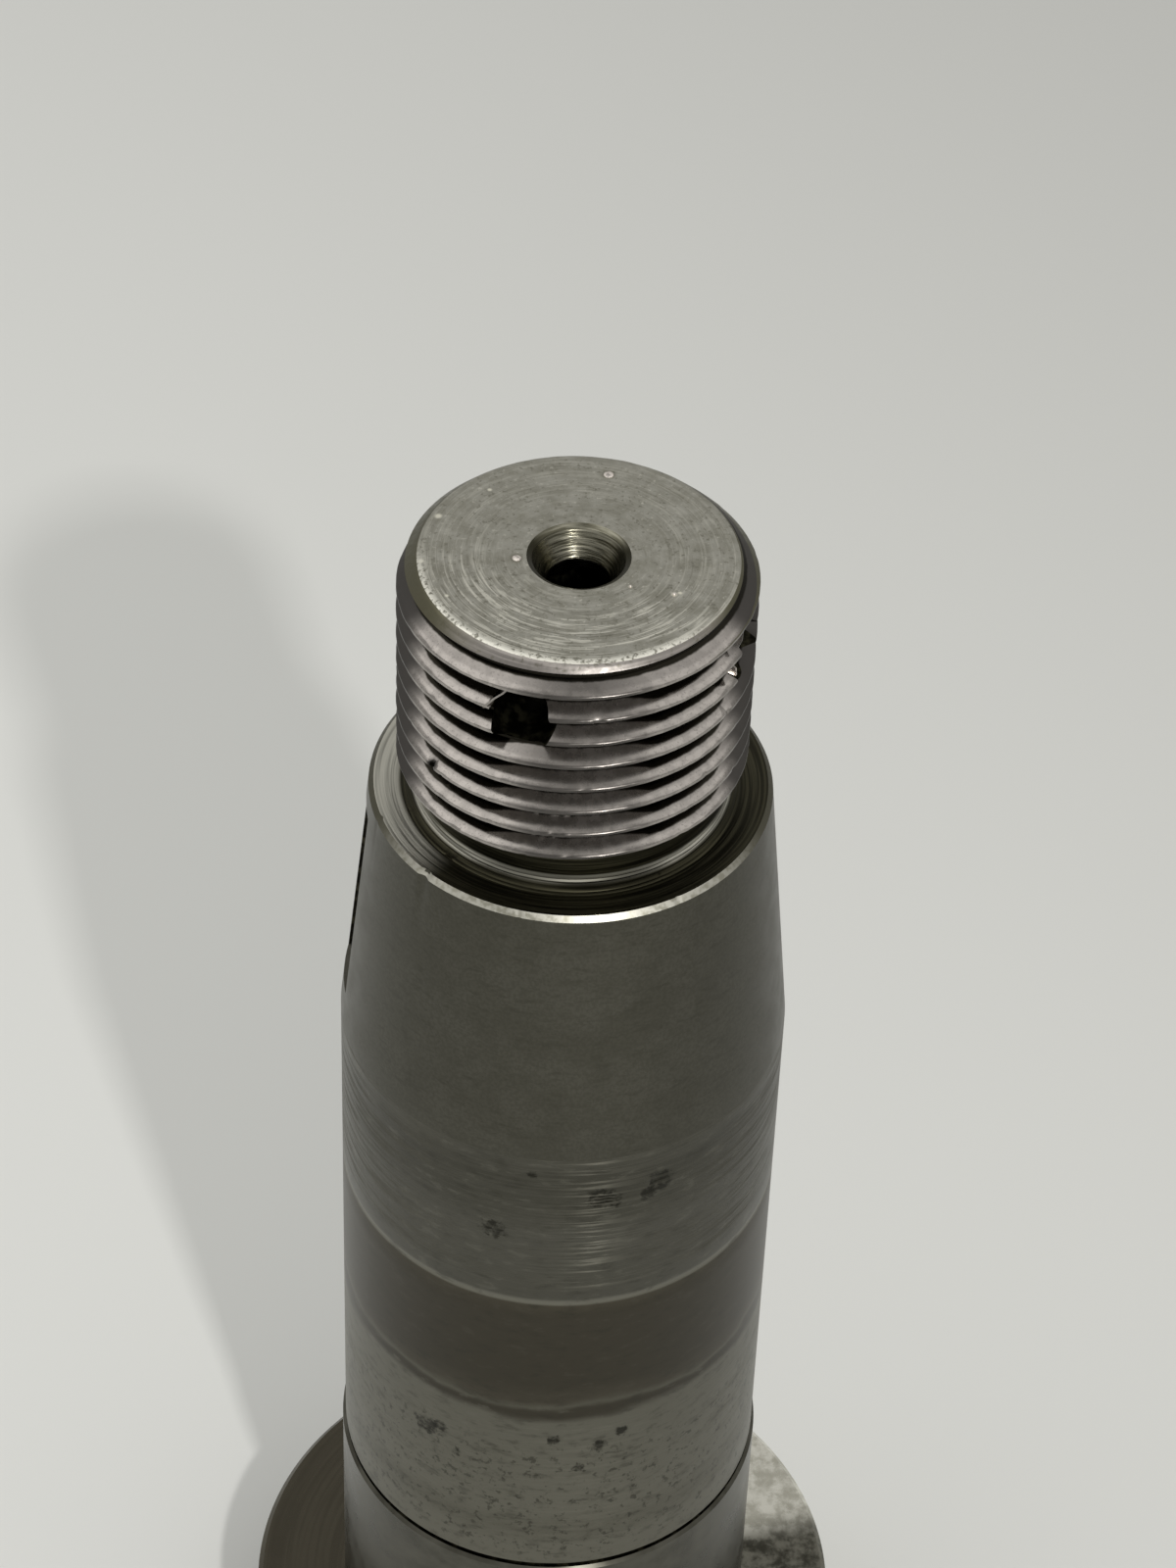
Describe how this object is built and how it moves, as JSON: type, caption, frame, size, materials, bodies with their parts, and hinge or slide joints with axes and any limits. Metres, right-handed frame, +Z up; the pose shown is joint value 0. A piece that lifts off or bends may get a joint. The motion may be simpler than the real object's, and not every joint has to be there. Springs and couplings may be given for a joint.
{
  "type": "tapered shaft end",
  "caption": "Turned steel shaft end standing on its round flange: stepped cylinder, taper with a half-moon keyway, thread relief and a coarse thread with crossed pin holes.",
  "frame": {"origin": "centre of the flange's underside, on the shaft's axis", "axes": "+Z up along the shaft's axis, from the flange to the thread; -X towards the middle of the keyway"},
  "size_m": [0.0466, 0.0466, 0.12],
  "materials": {
    "turned_steel": "turned, lightly oiled and stained"
  },
  "bodies": {
    "root": {"tapered_shaft": "turned_steel"}
  },
  "joints": []
}
